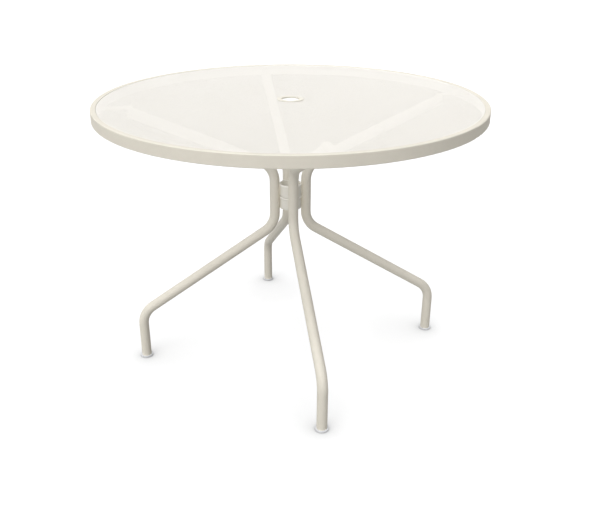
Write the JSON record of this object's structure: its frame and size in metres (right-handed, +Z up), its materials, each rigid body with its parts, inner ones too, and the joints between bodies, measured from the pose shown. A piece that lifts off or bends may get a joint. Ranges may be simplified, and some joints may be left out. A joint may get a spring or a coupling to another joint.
{
  "type": "umbrella table",
  "caption": "Round patio table with a mesh top in a tubular rim, an umbrella hole and a base of bent tube legs that meet round a pole collar.",
  "frame": {"origin": "on the floor, under the middle of the top", "axes": "+Z up; the front leg points along -Y and the others along +X, +Y and -X"},
  "size_m": [1.0399, 1.0399, 0.752],
  "materials": {
    "powder_coat": "cream powder coat, satin, over steel",
    "coated_mesh": "the same cream powder coat over fine steel mesh",
    "glide_plastic": "milky moulded plastic",
    "zinc_steel": "zinc plated steel"
  },
  "bodies": {
    "root": {"rim_tube": "powder_coat", "umbrella_hole_ring": "powder_coat", "collar_lower": "powder_coat", "collar_upper": "powder_coat", "strap_right": "powder_coat", "strap_back": "powder_coat", "strap_left": "powder_coat", "strap_front": "powder_coat", "leg_right": "powder_coat", "leg_back": "powder_coat", "leg_left": "powder_coat", "leg_front": "powder_coat", "plug_right": "powder_coat", "plug_back": "powder_coat", "plug_left": "powder_coat", "plug_front": "powder_coat", "mesh_panel": "coated_mesh", "glide_right": "glide_plastic", "glide_back": "glide_plastic", "glide_left": "glide_plastic", "glide_front": "glide_plastic", "strap_screws": "zinc_steel", "screw_washers": "zinc_steel"}
  },
  "joints": []
}
